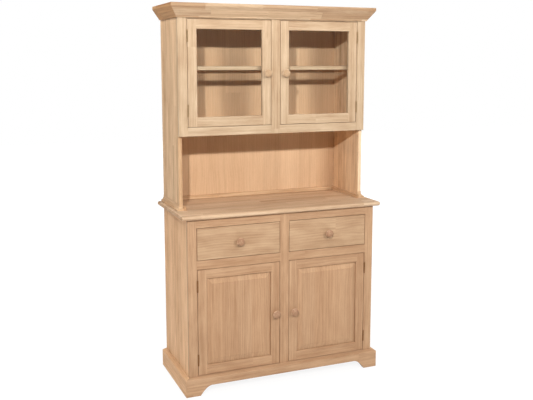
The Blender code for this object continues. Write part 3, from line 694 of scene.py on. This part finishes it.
# %% Crown moulding
CROWN_RUN, CROWN_FILLET, CROWN_DROP = 0.041, 0.016, 0.0675
CROWN_FOOT_RUN, CROWN_FOOT_FILLET = 0.008, 0.0045
out, foot = CLEARANCE + CROWN_RUN, CLEARANCE + CROWN_FOOT_RUN
crown_section = [(CLEARANCE, 0), (out, 0), (out, -CROWN_FILLET), (foot, -CROWN_DROP + CROWN_FOOT_FILLET),
                 (foot, -CROWN_DROP), (CLEARANCE, -CROWN_DROP)]
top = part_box("crown_front")[1].z
front_length = carried(crown_section, across_front(cabinet_front, top), X, Z, wide=True)
piece("crown_front_moulding", [front_length], "crown_front", WOODS["crown"])
for word, side in SIDES.items():
    stations = along_side(side, cabinet_front + CLEARANCE, wall, top)
    length = carried(crown_section, stations, Y, Z, wide=True)
    piece(f"crown_{word}_moulding", [length], f"crown_{word}", WOODS["crown_return_shaded"])
print("crown stands out", round(out * 1000, 1), "mm")

# %% [markdown]
# ## Plinth
# The plinth's front board has bracket feet: a curve climbs from each foot to the long apron. Its ends are
# mitred and its top edge slopes, so its outline is drawn again at each depth.

# %% Plinth boards
PLINTH_THICKNESS, PLINTH_HEIGHT, PLINTH_SLOPE = 0.0235, 0.0875, 0.0065
PLINTH_EASE, PLINTH_CORNER, PLINTH_CORNER_STEPS = 0.0008, 0.001, 2
FOOT_WIDTH, FOOT_CURVE_RUN, FOOT_CURVE_RISE, FOOT_CURVE_SHARE = 0.075, 0.062, 0.048, 0.53
FOOT_CURVE_STEPS = 16
plinth_out = CLEARANCE + PLINTH_THICKNESS


def apron_outline():
    """The lower edge between the feet, from right to left. Each foot's curve is a quadratic one from the
    floor to the apron: 2 t (1 - t) of its middle point plus t squared of its end."""
    t = np.linspace(0, 1, FOOT_CURVE_STEPS + 1)
    foot_x = HALF_FACE + PLINTH_THICKNESS - FOOT_WIDTH
    x = foot_x - (2 * t * (1 - t) * FOOT_CURVE_SHARE + t * t) * FOOT_CURVE_RUN
    half = np.column_stack([x, (2 * t * (1 - t) + t * t) * FOOT_CURVE_RISE])
    return np.concatenate([half, (half * (-1, 1))[::-1]])


def plinth_outline(run, ease):
    """The front board's outline at a depth: as wide as the mitre, and as high as the sloped top edge."""
    rise = PLINTH_HEIGHT + PLINTH_SLOPE * (plinth_out - run) / PLINTH_THICKNESS
    ends = [(-HALF_FACE - run, 0), (-HALF_FACE - run, rise), (HALF_FACE + run, rise), (HALF_FACE + run, 0)]
    shape = eased(np.concatenate([ends, apron_outline()]), PLINTH_CORNER, PLINTH_CORNER_STEPS)
    return pulled_in(shape, ease) if ease else shape


bend = BEND_SHARE * PLINTH_EASE
depths = ((plinth_out, PLINTH_EASE), (plinth_out - bend, bend), (plinth_out - PLINTH_EASE, 0),
          (CLEARANCE + PLINTH_EASE, 0), (CLEARANCE, PLINTH_EASE))
rings = []
for run, ease in depths:
    flat = plinth_outline(run, ease)
    rings.append(np.column_stack([flat[:, 0], np.full(len(flat), base_front - run), flat[:, 1]]))
piece("plinth_front_board", [body_of_wood(rings, X, Z)], "plinth_front", WOODS["plinth"])
plinth_section = [(CLEARANCE, 0), (plinth_out, 0), (plinth_out, PLINTH_HEIGHT),
                  (CLEARANCE, PLINTH_HEIGHT + PLINTH_SLOPE)]
for word, side in SIDES.items():
    board = carried(plinth_section, along_side(side, base_front + CLEARANCE, wall, 0), Y, Z)
    piece(f"plinth_{word}_board", [board], f"plinth_{word}", WOODS["plinth_side"])
print("feet are", round(FOOT_WIDTH * 1000), "mm wide")

# %% [markdown]
# ## Shoe and strips
# Where the cabinet's sides stand on the counter, a hollow moulding hides the joint outside and in front, and
# square strips do so inside. They are separate lengths, mitred at the corner. The hollow is a quarter of an
# ellipse: its run is short of the whole by a share sin a, its height by cos a.

# %% Shoe mouldings
SHOE_RUN, SHOE_HEIGHT, SHOE_FILLET, SHOE_LAP, SHOE_EASE, SHOE_STEPS = 0.014, 0.033, 0.008, 0.001, 0.0002, 8
STRIP_THICKNESS, STRIP_HEIGHT = 0.014, 0.0195
a = np.linspace(0, np.pi / 2, SHOE_STEPS + 1)
hollow = np.column_stack([
    CLEARANCE + np.maximum(SHOE_RUN * (1 - np.sin(a)), SHOE_LAP),
    SHOE_HEIGHT - (SHOE_HEIGHT - SHOE_FILLET) * np.cos(a),
])
shoe_section = [(CLEARANCE, 0), (CLEARANCE + SHOE_RUN, 0), *hollow.tolist(), (CLEARANCE, SHOE_HEIGHT)]
panel_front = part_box("hutch_side_left")[0].y
panel_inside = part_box("hutch_side_left")[1].x
shoe_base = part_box("shoe_left")[0].z
strip_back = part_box("back_strip")[1].y


def shoe_boards(side):
    """The length along the side, the short return across the panel's front edge, and the strip inside."""
    inner = -panel_inside - CLEARANCE
    x = sorted((side * (inner - STRIP_THICKNESS), side * (inner - CLEARANCE)))
    strip_front = panel_front - CLEARANCE - SHOE_RUN
    strip = plank((x[0], strip_front, shoe_base), (x[1], strip_back, shoe_base + STRIP_HEIGHT), Y, Z)
    long = carried(shoe_section, along_side(side, panel_front, wall, shoe_base), Y, Z, SHOE_EASE)
    ends = ((HALF_FACE, 1), (HALF_FACE - JOINT_EASE, 1), (inner + JOINT_EASE, 0), (inner, 0))
    stations = [station(side, x, panel_front, shoe_base, grow_x=mitre) for x, mitre in ends]
    return [long, carried(shoe_section, stations, X, Z, SHOE_EASE), strip]


for word, side in SIDES.items():
    piece(f"shoe_{word}_mouldings", shoe_boards(side), f"shoe_{word}", WOODS["hutch_case"])
print("shoe is", round(SHOE_HEIGHT * 1000), "mm high")

# %% [markdown]
# ## Door frames
# Each door frame is two stiles and two rails. Their inner edge is rounded over, and the rails' ends are cut
# to the same curve, which is called cope and stick. A rail's end therefore depends on depth alone, and the
# rounded edges meet in a neat mitre.

# %% Door frame sections
DOOR_MEMBER, DOOR_EASE, STICKING, STICKING_STEPS = 0.048, 0.001, 0.004, 5
GLASS_LIP, GLASS_REBATE = 0.012, 0.008
GROOVE_DEPTH, GROOVE_FRONT, GROOVE_WIDTH = 0.008, 0.0075, 0.006
ROUNDING_ERROR = 1e-6


def door_section(glazed):
    """Section of a stile or rail as (inset from the door's edge, depth from its face). Its inner edge is a
    quarter circle: the inset falls short by STICKING (1 - sin a) while the depth is STICKING (1 - cos a)."""
    a = np.linspace(0, np.pi / 2, STICKING_STEPS + 1)
    stick = np.column_stack([DOOR_MEMBER - STICKING * (1 - np.sin(a)), STICKING * (1 - np.cos(a))]).tolist()
    e = DOOR_EASE
    edge = [(0, BOARD - e), (0, e), (e * BEND_SHARE, e * BEND_SHARE), (e, 0)]
    if glazed:
        bottom = DOOR_MEMBER - GLASS_REBATE
        return edge + stick + [(DOOR_MEMBER, GLASS_LIP), (bottom, GLASS_LIP), (bottom, BOARD), (e, BOARD)]
    bottom, back = DOOR_MEMBER - GROOVE_DEPTH, GROOVE_FRONT + GROOVE_WIDTH
    groove = [(DOOR_MEMBER, GROOVE_FRONT), (bottom, GROOVE_FRONT), (bottom, back), (DOOR_MEMBER, back)]
    return edge + stick + groove + [(DOOR_MEMBER, BOARD), (e, BOARD)]


def cope(depth, glazed):
    """How far from the door's edge a rail starts at a depth: where the stile's section is at that depth."""
    a = np.arccos(np.clip(1 - depth / STICKING, 0, 1))
    curve = DOOR_MEMBER - STICKING * (1 - np.sin(a))
    if glazed:
        return np.where(depth > GLASS_LIP + ROUNDING_ERROR, DOOR_MEMBER - GLASS_REBATE, curve)
    return curve


print("the section of a glazed door's stile has", len(door_section(True)), "points")

# %% Door frame boards
END_EASE, END_PULL = 0.0005, 0.012


def door_frame(node, glazed):
    """Two stiles, their ends pulled in a little toward the section's middle, and two rails between."""
    low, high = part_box(node)
    inset, depth = np.array(door_section(glazed)).T
    y = low.y + depth
    boards = []
    for start, sign in ((low.x, 1), (high.x, -1)):
        x = start + sign * inset
        centre = x.mean()
        ends = ((low.z, END_PULL), (low.z + END_EASE, 0), (high.z - END_EASE, 0), (high.z, END_PULL))
        rings = [np.column_stack([x + (centre - x) * pull, y, np.full(len(x), z)]) for z, pull in ends]
        boards.append(body_of_wood(rings, Z, X))
    reach = cope(depth, glazed)
    for start, sign in ((low.z, 1), (high.z, -1)):
        z = start + sign * inset
        rings = [np.column_stack([end, y, z]) for end in (low.x + reach, high.x - reach)]
        boards.append(body_of_wood(rings, X, Z))
    return boards


for word in SIDES:
    for level, kind in (("lower", "buffet_face"), ("upper", "hutch_face")):
        node = f"{level}_door_{word}_frame"
        piece(f"{node}_boards", door_frame(node, level == "upper"), node, WOODS[kind])
print("four door frames")

# %% [markdown]
# ## Raised panels
# A raised panel floats in the frame's groove. Its field stands nearly flush with the frame, falls by a small
# shoulder and slopes down to a thin tongue. Nested rectangles give that section.

# %% Panels
PANEL_BEVEL, PANEL_SHOULDER, PANEL_SETBACK, PANEL_EDGE = 0.028, 0.001, 0.001, 0.0102
CREST_RUN, CREST_RISE, CREST_END = 0.0001, 0.0003, 0.0005


def raised_panel(node, frame_node):
    """A panel as nested rectangles, each an inset from the edge and a depth: back, tongue, slope, shoulder
    and a crest that rounds the shoulder's top."""
    low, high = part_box(node)
    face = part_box(frame_node)[0].y
    tongue = GROOVE_DEPTH - CLEARANCE
    top, tongue_front = face + PANEL_SETBACK, face + PANEL_EDGE
    field = tongue + PANEL_BEVEL
    layers = ((0, high.y), (0, tongue_front), (tongue, tongue_front), (field, top + PANEL_SHOULDER),
              (field + CREST_RUN, top + CREST_RISE), (field + CREST_END, top))
    rings = [[(low.x + i, y, low.z + i), (high.x - i, y, low.z + i), (high.x - i, y, high.z - i),
              (low.x + i, y, high.z - i)] for i, y in layers]
    return body_of_wood(rings, Z, X, wide=True)


for word in SIDES:
    name = f"lower_door_{word}_panel"
    piece(f"{name}_board", [raised_panel(name, f"lower_door_{word}_frame")], name, WOODS["panel"])
print("two raised panels")

# %% [markdown]
# ## Turned knobs
# A knob is its outline swept once round its axis, as on a lathe. A smooth curve, a Catmull-Rom spline, first
# joins the outline's few measured points.

# %% Knobs
KNOB_RADIUS, KNOB_REACH, KNOB_SIDES, CURVE_STEPS = 0.02, 0.031, 48, 6
SEAT_SHARE, LEAST_RADIUS_SHARE = 0.01, 0.004
KNOB_OUTLINE_SHARES = np.array((
    (0.0, 0.50), (0.12, 0.49), (0.28, 0.40), (0.42, 0.46), (0.52, 0.68), (0.61, 0.92),
    (0.70, 1.00), (0.80, 0.97), (0.89, 0.81), (0.96, 0.50), (0.995, 0.16), (1.0, 0.0),
))


def through(points):
    """A Catmull-Rom curve through points. Between b and c it is half of 2b + (c - a) t + (2a - 5b + 4c - d)
    t^2 + (3b - a - 3c + d) t^3, where a and d are the points before and after."""
    p = np.concatenate([points[:1], points, points[-1:]])
    a, b, c, d = p[:-3, None], p[1:-2, None], p[2:-1, None], p[3:, None]
    t = np.linspace(0, 1, CURVE_STEPS, endpoint=False)[None, :, None]
    curve = 0.5 * (2 * b + (c - a) * t + (2 * a - 5 * b + 4 * c - d) * t**2 + (3 * b - a - 3 * c + d) * t**3)
    return np.concatenate([curve.reshape(-1, 2), points[-1:]])


def knob(node):
    """A knob about the part's own axis: x and z are radius times cos and sin of the turn, y the reach."""
    low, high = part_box(node)
    centre = (low + high) / 2
    reach, radius = through(KNOB_OUTLINE_SHARES).T
    turn = np.linspace(0, 2 * np.pi, KNOB_SIDES, endpoint=False)
    r = np.clip(radius, LEAST_RADIUS_SHARE, 1)[:, None] * KNOB_RADIUS
    seat = high.y + SEAT_SHARE * KNOB_REACH
    y = seat - np.clip(reach, SEAT_SHARE, 1)[:, None] * KNOB_REACH + 0 * turn
    rings = np.stack([centre.x + r * np.cos(turn), y, centre.z + r * np.sin(turn)], -1)
    return body_of_wood(rings, Y, X)


knobs = sorted(name for name in frame["nodes"] if name.endswith("_knob"))
for name in knobs:
    piece(f"{name}_turning", [knob(name)], name, WOODS["knob" if name.startswith("upper") else "dark_knob"])
print(len(knobs), "knobs")

# %% [markdown]
# ## Drawer boxes
# Behind each front is a thin-walled box: two sides, a front and a back wall between them, and a bottom.

# %% Drawer box boards
DRAWER_SIDE, DRAWER_BOTTOM = 0.012, 0.006


def drawer_box(node):
    """The sides, the walls between them and the bottom."""
    low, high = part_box(node)
    left, right = low.x + DRAWER_SIDE, high.x - DRAWER_SIDE
    near, far = low.y + DRAWER_SIDE, high.y - DRAWER_SIDE
    return [
        plank(low, (left, high.y, high.z), Y, Z),
        plank((right, low.y, low.z), high, Y, Z),
        plank((left, low.y, low.z), (right, near, high.z), X, Z),
        plank((left, far, low.z), (right, high.y, high.z), X, Z),
        plank((left, near, low.z), (right, far, low.z + DRAWER_BOTTOM), X, Y, wide=True),
    ]


for word in SIDES:
    node = f"drawer_{word}_box"
    piece(f"{node}_boards", drawer_box(node), node, WOODS["inside"])
print("two drawer boxes")

# %% [markdown]
# ## Glass
# The panes are clear: they let light through, pass the view straight on, and mirror a little more at a
# slant. A transparent shader mixed with a glossy one by the angle does this, and keeps the inside lit.

# %% Glass material
GLASS_TINT, WHITE = (0.985, 0.99, 0.985, 1), (1, 1, 1, 1)
GLASS_POLISH, GLASS_IOR, MIRROR_SHARE, PANE_EASE = 0.02, 1.45, 0.25, 0.0002


def clear_glass():
    """A transparent surface that gives way to a mirror by MIRROR_SHARE of what Fresnel's law says."""
    made, surface, w = new_material("clear_glass", principled=False)
    through_glass = w.node("ShaderNodeBsdfTransparent", None, {"Color": GLASS_TINT})
    mirror = w.node("ShaderNodeBsdfGlossy", None, {"Color": WHITE, "Roughness": GLASS_POLISH})
    angle = w.node("ShaderNodeFresnel", None, {"IOR": GLASS_IOR}) * MIRROR_SHARE
    mix = w.node("ShaderNodeMixShader", None, {0: angle, 1: through_glass, 2: mirror})
    connect(mix, surface, "Surface")
    return made


glass = clear_glass()
for node in ("upper_door_left_glass", "upper_door_right_glass", "hutch_shelf_glass"):
    low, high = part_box(node)
    along, across = (X, Y) if node == "hutch_shelf_glass" else (Z, X)
    piece(f"{node}_pane", [plank(low, high, along, across, PANE_EASE)], node, glass)
print("three panes")

# %% [markdown]
# ## Glazing beads
# A thin bead runs round behind each door's pane and keeps it in the rebate. Its inner edge is rounded.

# %% Beads
BEAD_WIDTH, BEAD_ROUND, BEAD_GAP, BEAD_SETBACK = 0.0072, 0.0018, 0.0001, 0.0002
for word in SIDES:
    node = f"upper_door_{word}_frame"
    low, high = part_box(f"upper_door_{word}_glass")
    near, far = high.y + BEAD_GAP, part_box(node)[1].y - BEAD_SETBACK
    wide, r, bend = BEAD_WIDTH, BEAD_ROUND, BEND_SHARE * BEAD_ROUND
    bead = [(0, near), (0, far), (wide - r, far), (wide - bend, far - bend), (wide, far - r), (wide, near)]
    strips = mitred_frame(low, high, [(*(inset,) * 4, y) for inset, y in bead], (X, Z))
    piece(f"upper_door_{word}_beads", strips, node, WOODS["hutch_face"], replace=False)
print("beads are", round((far - near) * 1000, 1), "mm thick")

# %% [markdown]
# ## Hinges
# The hinges are small brass butts, bright on the glazed doors and deeper on the panelled ones, which is
# painted shade where the lower doors get less light. The part's own solids have the right shape, so they
# only get their finish: metal with paler and deeper patches.

# %% Hinge metal
PATCHES, PATCH_DETAIL = 160.0, 3.0
METAL_ROUGHNESS, PATCH_ROUGHNESS, METALLIC = 0.35, 0.25, 0.9


def brass(name, deep, pale):
    """Metal whose colour wanders between a deep and a pale one in patches of a few millimetres."""
    made, shader, w = new_material(name)
    place = w.node("ShaderNodeTexCoord", output=3)
    sockets = {"Vector": place, "Scale": PATCHES, "Detail": PATCH_DETAIL}
    patches = w.node("ShaderNodeTexNoise", None, sockets)
    ground = w.node("ShaderNodeMix", {"data_type": "RGBA"}, {0: patches, 6: (*deep, 1), 7: (*pale, 1)}, 2)
    connect(ground, shader, "Base Color")
    connect(METAL_ROUGHNESS + patches * PATCH_ROUGHNESS, shader, "Roughness")
    shader.inputs["Metallic"].default_value = METALLIC
    return made


BRASSES = {
    "upper": brass("bright_brass", (0.29, 0.19, 0.097), (0.70, 0.50, 0.285)),
    # The panelled doors' brass is painted deeper: painted shade.
    "lower": brass("shaded_brass", (0.15, 0.068, 0.028), (0.45, 0.24, 0.105)),
}
for name, node in frame["nodes"].items():
    if "_hinge_" in name:
        node.data.materials.clear()
        node.data.materials.append(BRASSES[name.split("_")[0]])
print("hinges finished")

# %% [markdown]
# ## Studio
# The floor and the background are white to the camera and dimmer in reflections, but light the piece only as
# a pale studio would. Light Path tells which kind of ray asks, so white can depend on it.

# %% White to the camera
MIRRORED = 0.6


def seen_directly(w):
    """1 for camera and transmission rays, MIRRORED for glossy ones, else 0."""
    camera, passed, glossy = (w.node("ShaderNodeLightPath", None, None, f"Is {name} Ray")
                              for name in ("Camera", "Transmission", "Glossy"))
    return (camera + passed + glossy * MIRRORED).clamped()


FILL = 0.05
scene = bpy.context.scene
scene.view_settings.view_transform = "Standard"
world = bpy.data.worlds.new("studio")
scene.world = world
world.use_nodes = True
background = world.node_tree.nodes["Background"]
connect(seen_directly(Wire(world.node_tree)) * (1 - FILL) + FILL, background, "Strength")
background.inputs["Color"].default_value = WHITE
print("the background lights the piece by", FILL)

# %% [markdown]
# ## Floor
# The floor is a sheet of white paper that keeps a faint shadow of the piece. Close to the piece a share of
# it is real, lit paper. Further off it turns plain white, so it has no edge.

# %% Paper floor
FLOOR_HALF, FLOOR_COLOUR = 12.0, (0.75, 0.74, 0.72, 1)
FLOOR_WHITE, WHITE_FROM, WHITE_SHARE = 1.12, 1.2, 0.8


def white_paper():
    """Diffuse paper mixed with white. The share of white, where a camera looks, grows from WHITE_SHARE to 1
    over the metre beyond WHITE_FROM."""
    made, surface, w = new_material("white_floor", principled=False)
    lit = w.node("ShaderNodeBsdfDiffuse", None, {"Color": FLOOR_COLOUR})
    white = w.node("ShaderNodeEmission", None, {"Color": WHITE, "Strength": FLOOR_WHITE})
    place = w.node("ShaderNodeTexCoord", output=3)
    far = (w.node("ShaderNodeVectorMath", {"operation": "LENGTH"}, {0: place}, 1) - WHITE_FROM).clamped()
    share = seen_directly(w) * (far * (1 - WHITE_SHARE) + WHITE_SHARE)
    connect(w.node("ShaderNodeMixShader", None, {0: share, 1: lit, 2: white}), surface, "Surface")
    return made


floor_mesh = bpy.data.meshes.new("floor")
corners = [(x * FLOOR_HALF, y * FLOOR_HALF, 0) for x, y in ((-1, -1), (1, -1), (1, 1), (-1, 1))]
floor_mesh.from_pydata(corners, [], [(0, 1, 2, 3)])
floor_mesh.materials.append(white_paper())
floor = placed("floor", floor_mesh)
floor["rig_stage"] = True
print("floor is", FLOOR_HALF * 2, "m wide")

# %% [markdown]
# ## Lamps
# A small key lamp at the front left draws crisp shadows inside the cabinet, and a long one at the front
# right softens them. Broad ones light the top, both sides and the back. Those at the sides stand behind the
# front's plane, so they don't graze it.

# %% Lamps
# Place, the point that it faces, width, height and power in watts
LAMPS = {
    "key": ((-2.0, -3.6, 2.76), (0, 0, 1.1), 0.15, 0.15, 117),
    "second": ((1.2, -3.6, 2.74), (0, 0, 1.1), 1.0, 0.2, 74),
    "left": ((-1.35, 0.3, 2.75), (-0.516, 0.1, 2.0), 0.7, 0.5, 11),
    "low": ((-2.4, 0.2, 0.6), (-0.5, 0, 0.45), 0.8, 0.9, 11.5),
    "over": ((0, -1.3, 3.2), (0, -0.2, 0.9), 0.9, 0.9, 15),
    "right": ((3.4, 0.8, 1.9), (0.5, 0, 1.0), 1.6, 1.6, 48),
    "rear": ((0.4, 3.8, 2.0), (0, 0, 1.0), 2.2, 2.0, 90),
}


def aimed(name, data, at, way):
    """A new object at a place, turned to look along a way."""
    made = placed(name, data)
    made.location = at
    made.rotation_mode = "QUATERNION"
    made.rotation_quaternion = way.to_track_quat("-Z", "Y")
    return made


def lamp(name, at, target, wide, high, power):
    """An elliptical lamp that faces a point, and that the panes and the metal don't mirror."""
    data = bpy.data.lights.new(name, "AREA")
    data.shape = "ELLIPSE"
    data.size, data.size_y, data.energy = wide, high, power
    aimed(name, data, at, Vector(target) - Vector(at)).visible_glossy = False


for name, row in LAMPS.items():
    lamp(name, *row)
print(len(LAMPS), "lamps:", ", ".join(LAMPS))

# %% [markdown]
# ## Camera
# The camera stands to the left of the front, high enough to look a little down on the counter. Its place,
# direction and lens were fitted to the object's corners in the photo. The photo's middle lies some pixels
# off the lens's axis, which a shift by a share of the picture's width takes up.

# %% Camera
CAMERA_AT, CAMERA_WAY = (-1.5296, -3.6989, 1.6588), (0.37472432, 0.91594795, -0.14360028)
FOCAL_MM, SENSOR_MM, SHIFT_PIXELS, WIDTH_PIXELS = 51.39, 36, -28, 533
camera_data = bpy.data.cameras.new("camera")
camera_data.lens, camera_data.sensor_width = FOCAL_MM, SENSOR_MM
camera_data.shift_y = SHIFT_PIXELS / WIDTH_PIXELS
scene.camera = aimed("camera", camera_data, CAMERA_AT, Vector(CAMERA_WAY))
print("camera height", round(scene.camera.location.z, 3))

# %% [markdown]
# ## Size
# The box round everything shown but the floor is worked out and printed. The dressed model
# has to fill the same box as the part.

# %% The visual box
low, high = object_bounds()
print("visual box", [round(b - a, 4) for a, b in zip(low, high)])
